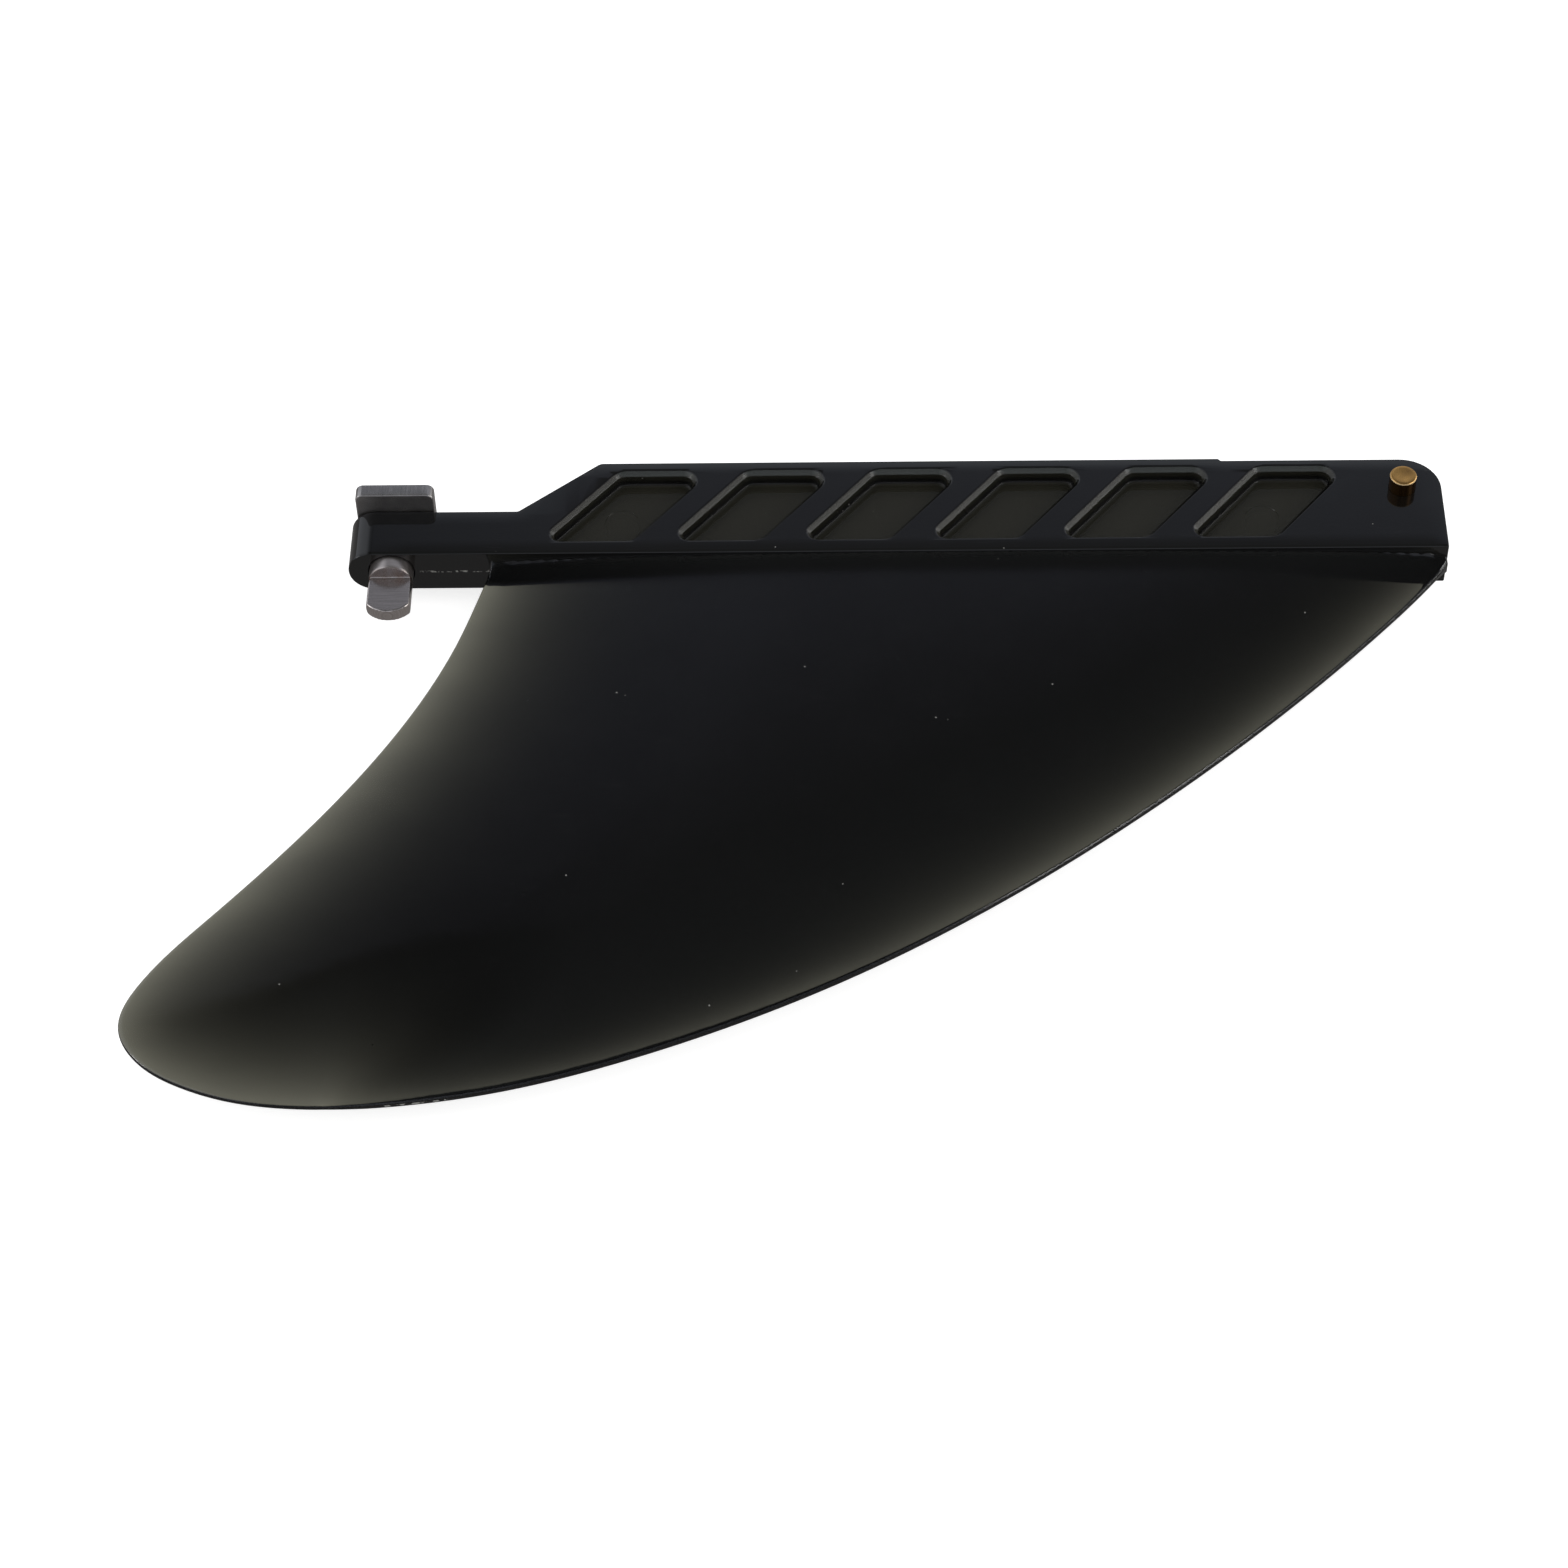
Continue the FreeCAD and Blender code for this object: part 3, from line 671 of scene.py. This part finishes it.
def shankMesh():
    s = thumbScrew
    radius, margin = s["shankRadius"], 0.1
    profile = [(s["shankFrom"], radius)]
    first, last, step = s["threadFrom"] - margin, s["threadTo"] + margin, s["pitch"] / 10
    profile += [(y, radius) for y in np.arange(first, last, step)]
    profile += [(s["shankTop"] - down, radius - less) for down, less in s["shankEnd"]]
    profile += [(s["shankTop"], 0.05)]
    return lathe(profile, 64, "shank", threadRadius)


print("thumb screw")
screw = cut(headMesh(), newPiece("shank", shankMesh()), "UNION")
screw.name = "thumbScrew"
screw.data.transform(Matrix.Translation((thumbScrew["at"] * mm, 0, 0)))
smooth(screw, 38)
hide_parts("thumb_screw")
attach(screw, "screw")

# threaded clamping plate

clampPlate = {
    "at": finBase["screwAt"],
    "length": 13.9,
    "width": 16.8,
    "under": 10.6,
    "ahead": 0.35,  # middle of the plate ahead of its hole
    "thickness": 2.75,
    "corner": 1.4,
    "edge": 0.3,
    "bore": 2.04,
}


def plateMesh():
    p = clampPlate
    x, z = p["length"] / 2, p["width"] / 2
    under, over = p["under"], p["under"] + p["thickness"]
    outline = roundCorners([(-x, -z), (x, -z), (x, z), (-x, z)], [p["corner"]] * 4, 10)
    middle = p["at"] + p["ahead"]
    loops = [[((middle + q.x) * mm, y * mm, q.y * mm) for q in outline] for y in (under, over)]
    mesh = stack(loops, "clampPlate")
    body = bmesh.new()
    body.from_mesh(mesh)
    bevel(body, sharpEdges(body, 60), p["edge"], 3)
    body.to_mesh(mesh)
    body.free()
    bore = lathe([(under - clear, p["bore"]), (over + clear, p["bore"])], 64, "bore")
    bore.transform(Matrix.Translation((p["at"] * mm, 0, 0)))
    return cut(newPiece("clampPlate", mesh), newPiece("bore", bore))


print("clamping plate")
plate = smooth(plateMesh(), 32)
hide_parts("lock_plate")
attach(plate, "plate")

# materials


def coords(finish, scale=(1000, 1000, 1000)):  # place on the piece in millimetres, stretched by the scale
    place = finish.node("ShaderNodeTexCoord", None, None, 3)
    return finish.node("ShaderNodeMapping", None, {0: place, 3: scale})


def axis(finish, number):  # one coordinate on the piece in millimetres
    place = finish.node("ShaderNodeTexCoord", None, None, 3)
    return finish.node("ShaderNodeSeparateXYZ", None, {0: place}, number) * 1000


def noise(finish, scale, size=(1000, 1000, 1000), detail=3):
    sockets = {"Vector": coords(finish, size), "Scale": scale, "Detail": detail}
    return finish.node("ShaderNodeTexNoise", None, sockets)


def ramp(finish, factor, stops, reach=None):  # stops lie between 0 and the reach, or else 1
    if reach:
        factor = factor * (1 / reach)
        stops = [(place / reach, shade) for place, shade in stops]
    return finish.node("ShaderNodeValToRGB", {"stops": stops}, {0: factor})


def mixed(finish, factor, first, second):
    return finish.node("ShaderNodeMix", {"data_type": "RGBA"}, {0: factor, 6: first, 7: second}, 2)


def layered(finish, mask, first, second):  # one shader where the mask is 0, the other where it is 1
    return finish.node("ShaderNodeMixShader", None, {0: mask, 1: first, 2: second})


def bump(finish, height, distance):
    return finish.node("ShaderNodeBump", None, {"Height": height, "Distance": distance, "Strength": 1.0})


def specks(finish, scale, share):  # sparse round dots, one where the fine mesh and the coarse mask agree
    cell = finish.node("ShaderNodeTexVoronoi", None, {"Vector": coords(finish), "Scale": scale})
    dots = ramp(finish, cell, [(0.05, 1), (0.09, 0)])
    mask = ramp(finish, noise(finish, scale * 0.23, detail=0), [(share, 0), (share + 0.02, 1)])
    return dots * mask


def outputOf(finish, surface, volume=None):
    sockets = {"Surface": surface}
    if volume:
        sockets["Volume"] = volume
    finish.sink("ShaderNodeOutputMaterial", sockets)


def dress(piece, finish):
    piece.data.materials.clear()
    piece.data.materials.append(finish.material)


smoked = {
    "thin": (0.52, 0.51, 0.405, 1),
    "deep": (0.47, 0.46, 0.37, 1),
    "absorb": 980.0,
    "index": 1.5,
    "relief": 0.0000035,
    # pale colour of the specks in the plastic, also used for the painted highlights along the parting line
    "speckAndGlint": (0.30, 0.30, 0.28, 1),
    "solid": (0.0035, 0.0035, 0.0033, 1),
    # painted glow along the base's top strip, for light let in through its top face
    "paintedRailGlow": (0.008, 0.009, 0.0088, 1),
    "etched": (0.024, 0.023, 0.0155, 1),
    # lighter grey-green for the pockets' upper bevels: painted sheen
    "rim": (0.048, 0.055, 0.050, 1),
}


def pocketMask(finish, along, up, square):  # 1 on the bevels, walls and floors of the pockets
    b = finBase
    lean = 1 / math.tan(b["pocketSlant"])
    start = b["pocketStart"] - b["pocketFoot"] * lean
    slanted = along - up * lean
    row = ramp(finish, slanted, [(29.5, 0), (29.8, 1), (164, 1), (166, 0)], 200)
    row = row * ramp(finish, up, [(3.4, 0), (3.55, 1), (20.15, 1), (20.3, 0)], 25)
    within = (slanted - start) % b["pocketPitch"]
    row = row * ramp(finish, within, [(15, 1), (15.15, 0), (20, 0), (20.25, 1)], 25)
    return row * ramp(finish, square, [(19.5, 1), (20, 0)], 25)


def seamGlintMask(finish, along, up):  # pale dashes along the moulding's parting line, under the arm: painted highlights where the line catches the light
    seamGlint = ramp(finish, axis(finish, 2) + 1, [(0.76, 0), (0.82, 1), (1.18, 1), (1.24, 0)], 2)
    seamGlint = seamGlint * ramp(finish, up + 1, [(1.04, 1), (1.12, 0)], 2)
    seamGlint = seamGlint * ramp(finish, along, [(12.5, 0), (13.5, 1), (25, 1), (25.5, 0)], 100)
    return seamGlint * ramp(finish, noise(finish, 0.9), [(0.50, 0), (0.56, 1)])


def smokedPlastic():  # see-through in the blade, dark in the base, scattering in the pockets
    finish = Finish("smokedPlastic")
    flow = noise(finish, 0.05, (1000, 2200, 1000))
    tint = mixed(finish, ramp(finish, flow, [(0.35, 0), (0.65, 1)]), smoked["deep"], smoked["thin"])
    scuff = ramp(finish, noise(finish, 0.5, (420, 3600, 1000), 6), [(0.62, 0), (0.74, 1)])
    haze = ramp(finish, noise(finish, 0.09), [(0.4, 0), (0.7, 1)])
    rough = 0.045 + haze * 0.04 + scuff * 0.09
    grain = noise(finish, 2.2, detail=4) * 0.6 + noise(finish, 0.11, detail=1) * 2.0
    dot = specks(finish, 0.5, 0.74)
    height = grain - dot * 3.0
    glass = finish.node("ShaderNodeBsdfPrincipled", None, {
        "Base Color": tint,
        "Roughness": rough,
        "IOR": smoked["index"],
        "Transmission Weight": 1.0,
        "Normal": bump(finish, height, smoked["relief"]),
    })
    along, up = axis(finish, 0), axis(finish, 1)
    square = axis(finish, 2) ** 2  # height off the middle plane, squared, so that both sides are alike
    # painted glow: the strip under the base's top edge lighter, for light coming through from the top face
    paintedRailGlow = ramp(finish, up, [(20, 0), (21.5, 1)], 25)
    solid = finish.node("ShaderNodeBsdfPrincipled", None, {
        "Base Color": mixed(finish, paintedRailGlow, smoked["solid"], smoked["paintedRailGlow"]),
        "Roughness": rough,
        "IOR": smoked["index"],
        "Normal": bump(finish, height, smoked["relief"]),
    })
    body = layered(finish, ramp(finish, up + 25, [(24.25, 0), (25, 1)], 50), glass, solid)
    # painted shade: the floor fillet and lower pocket walls darker than the floor, easing up the wall
    paintedWallShade = ramp(finish, square, [(2.625, 0), (3.5, 1), (5.5, 1), (10, 0.25)], 25)
    etched = finish.node("ShaderNodeBsdfPrincipled", None, {
        "Base Color": mixed(finish, paintedWallShade, smoked["etched"], smoked["solid"]),
        "Roughness": 0.6,
        "Specular IOR Level": 0.2,
        "Normal": bump(finish, noise(finish, 4.0, detail=4), 0.00002),
    })
    # painted sheen: the bevels along the pockets' top edges lighter than the others
    grey = ramp(finish, up, [(19.125, 0), (19.375, 1)], 25)
    bevelled = finish.node("ShaderNodeBsdfPrincipled", None, {
        "Base Color": mixed(finish, grey, smoked["etched"], smoked["rim"]),
        "Roughness": 0.32,
        "IOR": smoked["index"],
        "Normal": bump(finish, noise(finish, 5.0, detail=2), 0.00003),
    })
    inner = layered(finish, ramp(finish, square, [(12.5, 0), (14.5, 1)], 25), etched, bevelled)
    clouded = layered(finish, 0.7, glass, inner)
    body = layered(finish, pocketMask(finish, along, up, square), body, clouded)
    paleSpeckAndGlint = finish.node("ShaderNodeBsdfPrincipled", None, {"Base Color": smoked["speckAndGlint"], "Roughness": 0.6})
    # pale specks, and painted highlights along the parting line
    surface = layered(finish, dot * 0.8 + seamGlintMask(finish, along, up) * 0.8, body, paleSpeckAndGlint)
    depth = {"Color": (0, 0, 0, 1), "Density": smoked["absorb"]}
    outputOf(finish, surface, finish.node("ShaderNodeVolumeAbsorption", None, depth))
    return finish


brassTones = {
    "clean": (0.66, 0.38, 0.12, 1),
    "stained": (0.46, 0.26, 0.09, 1),
    "side": (0.17, 0.085, 0.028, 1),
    # painted highlight on the rounded rims of the pin's end faces
    "rim": (0.95, 0.72, 0.40, 1),
}


def brass():
    finish = Finish("brass")
    stain = ramp(finish, noise(finish, 0.6, detail=5), [(0.35, 0), (0.75, 1)])
    colour = mixed(finish, stain, brassTones["clean"], brassTones["stained"])
    out = axis(finish, 2) ** 2 * 0.015  # grows towards both end faces, to 0.87 there
    side = ramp(finish, out, [(0.78, 1), (0.815, 0)])
    colour = mixed(finish, side, colour, brassTones["side"])
    # painted highlight: the rounded rims of both end faces bright, and rougher
    rim = ramp(finish, out, [(0.79, 0), (0.80, 1), (0.832, 1), (0.838, 0)])
    colour = mixed(finish, rim, colour, brassTones["rim"])
    lines = noise(finish, 0.9, (6000, 300, 300), 5)
    metal = finish.node("ShaderNodeBsdfPrincipled", None, {
        "Base Color": colour,
        "Metallic": 1.0,
        "Roughness": 0.2 + lines * 0.18 + rim * 0.25,
        "Normal": bump(finish, lines + noise(finish, 4.0), 0.000004),
    })
    outputOf(finish, metal)
    return finish


screwTones = {
    "low": (0.46, 0.42, 0.40, 1),
    "high": (0.64, 0.585, 0.56, 1),
    "rust": (0.30, 0.19, 0.14, 1),
}


def screwSteel():
    finish = Finish("screwSteel")
    along = axis(finish, 1)
    rings = noise(finish, 1.6, (120, 9000, 120), 5)
    smear = noise(finish, 0.7, detail=5)
    turned = ramp(finish, rings, [(0.3, 0), (0.7, 1)])
    grey = mixed(finish, turned, screwTones["low"], screwTones["high"])
    belt = ramp(finish, along + 4.2, [(0, 0), (1.1, 1), (1.7, 1), (2, 0)], 2)
    rust = belt * ramp(finish, smear, [(0.38, 0), (0.62, 1)])
    neck = ramp(finish, along + 4, [(1.4, 0), (1.6, 1)], 4)
    metal = finish.node("ShaderNodeBsdfPrincipled", None, {
        "Base Color": mixed(finish, rust * 0.35, grey, screwTones["rust"]),
        "Metallic": 1.0,
        "Roughness": 0.13 + rings * 0.14 + rust * 0.12 + neck * 0.16,
        "Normal": bump(finish, rings + smear * 0.4, 0.000006),
    })
    outputOf(finish, metal)
    return finish


plateTones = {
    "low": (0.38, 0.365, 0.355, 1),
    "high": (0.53, 0.505, 0.485, 1),
    "sawn": (0.31, 0.30, 0.295, 1),
}


def plateSteel():
    finish = Finish("plateSteel")
    sawn = noise(finish, 1.1, (5200, 260, 5200), 6)  # fine lines up the edge faces
    rolled = noise(finish, 0.9, (300, 5200, 5200), 5)
    blotch = ramp(finish, noise(finish, 0.45, detail=4), [(0.35, 0), (0.7, 1)])
    grey = mixed(finish, blotch, plateTones["low"], plateTones["high"])
    lines = ramp(finish, sawn, [(0.35, 0), (0.7, 1)])
    under = ramp(finish, axis(finish, 1), [(10.66, 1), (11, 0)], 20)
    metal = finish.node("ShaderNodeBsdfPrincipled", None, {
        "Base Color": mixed(finish, lines, grey, plateTones["sawn"]),
        "Metallic": 1.0,
        "Roughness": 0.18 + sawn * 0.2 + under * 0.15,
        "Normal": bump(finish, sawn + rolled * 0.4, 0.000012),
    })
    outputOf(finish, metal)
    return finish


print("materials")
dress(fin, smokedPlastic())
dress(pin, brass())
dress(screw, screwSteel())
dress(plate, plateSteel())

# camera and studio

studio = {
    "place": (90.35, -488.22, 520.93),
    "down": math.radians(49.89),
    "turn": math.radians(-1.70),
    "roll": math.radians(-1.67),
    "focal": 4043.97,  # in pixels of the square frame
    "frame": 1568,
    "sensor": 36,
    "floor": -8.42,
    "floorReach": 3.0,
    "floorLight": 0.75,
    "mirrored": (0.25, 0.245, 0.245, 1),  # the floor as gloss sees it: painted shade, dim grey as the floor lies shadowed under the fin
    "ambient": 0.75,
    # place, aim, size and power, in metres and watts
    "frontLeft": ((-0.88, -0.20, 0.38), (0.03, 0, 0), (0.3, 0.28), 1.0),
    "frontRight": ((0.80, -0.28, 0.50), (0.06, 0, 0), (0.3, 0.25), 0.9),
    # what gloss sees over the floor: by height, then by side, then a window at the right
    "sky": [
        (0.0, (0.72, 0.75, 0.82)), (0.5, (0.50, 0.52, 0.58)), (0.643, (0.57, 0.60, 0.68)),
        (0.670, (0.60, 0.64, 0.72)), (0.695, (0.38, 0.41, 0.48)), (0.719, (0.26, 0.275, 0.33)),
        (0.751, (0.165, 0.17, 0.19)), (0.79, (0.135, 0.14, 0.145)), (1.0, (0.17, 0.18, 0.18)),
    ],
    "dim": [(0.02, 1), (0.2, 0.4), (0.32, 0.5), (0.43, 1), (0.66, 1), (0.85, 0.7)],
    "leftGlow": (0.68, 0.71, 0.77, 1),
    "window": [(0.30, 1.0), (0.40, 0.58), (0.46, 0.26), (0.6, 0.15)],
    "windowLight": 2.2,
}


def placeCamera():
    down, turn, roll = studio["down"], studio["turn"], studio["roll"]
    ahead = Vector((math.sin(turn) * math.cos(down), math.cos(turn) * math.cos(down), -math.sin(down)))
    level = Vector((math.cos(turn), -math.sin(turn), 0))
    rise = level.cross(ahead)
    right = level * math.cos(roll) + rise * math.sin(roll)
    up = rise * math.cos(roll) - level * math.sin(roll)
    data = bpy.data.cameras.new("camera")
    data.sensor_width = studio["sensor"]
    data.lens = studio["focal"] / studio["frame"] * studio["sensor"]
    data.clip_start, data.clip_end = 0.01, 20
    camera = newPiece("camera", data)
    turned = Matrix((right, up, -ahead)).transposed().to_4x4()
    camera.matrix_world = Matrix.Translation(Vector(studio["place"]) * mm) @ turned
    bpy.context.scene.camera = camera


def softbox(name):
    place, aim, size, power = studio[name]
    data = bpy.data.lights.new(name, "AREA")
    data.shape = "RECTANGLE"
    data.size, data.size_y = size
    data.energy = power
    lamp = newPiece(name, data)
    lamp.location = place
    lamp.rotation_euler = (Vector(aim) - Vector(place)).to_track_quat("-Z", "Y").to_euler()


def rays(finish):  # 1 for what the camera sees directly, in a mirror or through glass
    path = finish.node("ShaderNodeLightPath")
    seen, mirror, through = (Wire(finish, path.socket.node.outputs["Is %s Ray" % kind])
                             for kind in ("Camera", "Glossy", "Transmission"))
    return seen, mirror * (1 - through), through


def glow(finish, colour, strength):
    return finish.node("ShaderNodeEmission", None, {"Color": colour, "Strength": strength})


def paleFloor():
    reach, white = studio["floorReach"], (1, 1, 1, 1)
    level = studio["floor"] * mm
    corners = [(x * reach, y * reach, level) for x, y in ((-1, -1), (1, -1), (1, 1), (-1, 1))]
    floor = newPiece("floor", meshOf(corners, [[0, 1, 2, 3]], "floor"))
    finish = Finish("paleFloor")
    seen, mirror, through = rays(finish)
    shade = finish.node("ShaderNodeBsdfDiffuse", None, {"Color": (0.8, 0.8, 0.8, 1)})
    light = glow(finish, white, seen * studio["floorLight"])
    lit = finish.node("ShaderNodeAddShader", None, {0: shade, 1: light})
    lit = layered(finish, through, lit, glow(finish, white, 1.0))
    # gloss sees the floor in painted shade
    outputOf(finish, layered(finish, mirror, lit, glow(finish, studio["mirrored"], 1.0)))
    dress(floor, finish)


def dimSky():
    world = bpy.data.worlds.new("studio")
    bpy.context.scene.world = world
    world.use_nodes = True
    finish = Finish("studio", world.node_tree)
    seen, mirror, through = rays(finish)
    place = finish.node("ShaderNodeTexCoord", None, None, 0)
    rise = finish.node("ShaderNodeSeparateXYZ", None, {0: place}, 2)
    side = finish.node("ShaderNodeSeparateXYZ", None, {0: place}, 0) + 0.5
    sky = mixed(finish, ramp(finish, side, studio["dim"]), (0, 0, 0, 1), ramp(finish, rise, studio["sky"]))
    sky = mixed(finish, ramp(finish, side, [(0.02, 1), (0.21, 0)]), sky, studio["leftGlow"])
    window = ramp(finish, rise, studio["window"]) * studio["windowLight"]
    sky = mixed(finish, ramp(finish, side * 0.5 + 0.25, [(0.86, 0), (0.92, 1)]), sky, window)
    plain = studio["ambient"]
    shown = mixed(finish, mirror, (plain, plain, plain, 1), sky)
    shown = mixed(finish, seen + through, shown, (1, 1, 1, 1))
    backdrop = finish.node("ShaderNodeBackground", None, {"Color": shown})
    finish.sink("ShaderNodeOutputWorld", {"Surface": backdrop})


print("studio")
placeCamera()
softbox("frontLeft")
softbox("frontRight")
paleFloor()
dimSky()
bpy.context.scene.view_settings.view_transform = "Standard"
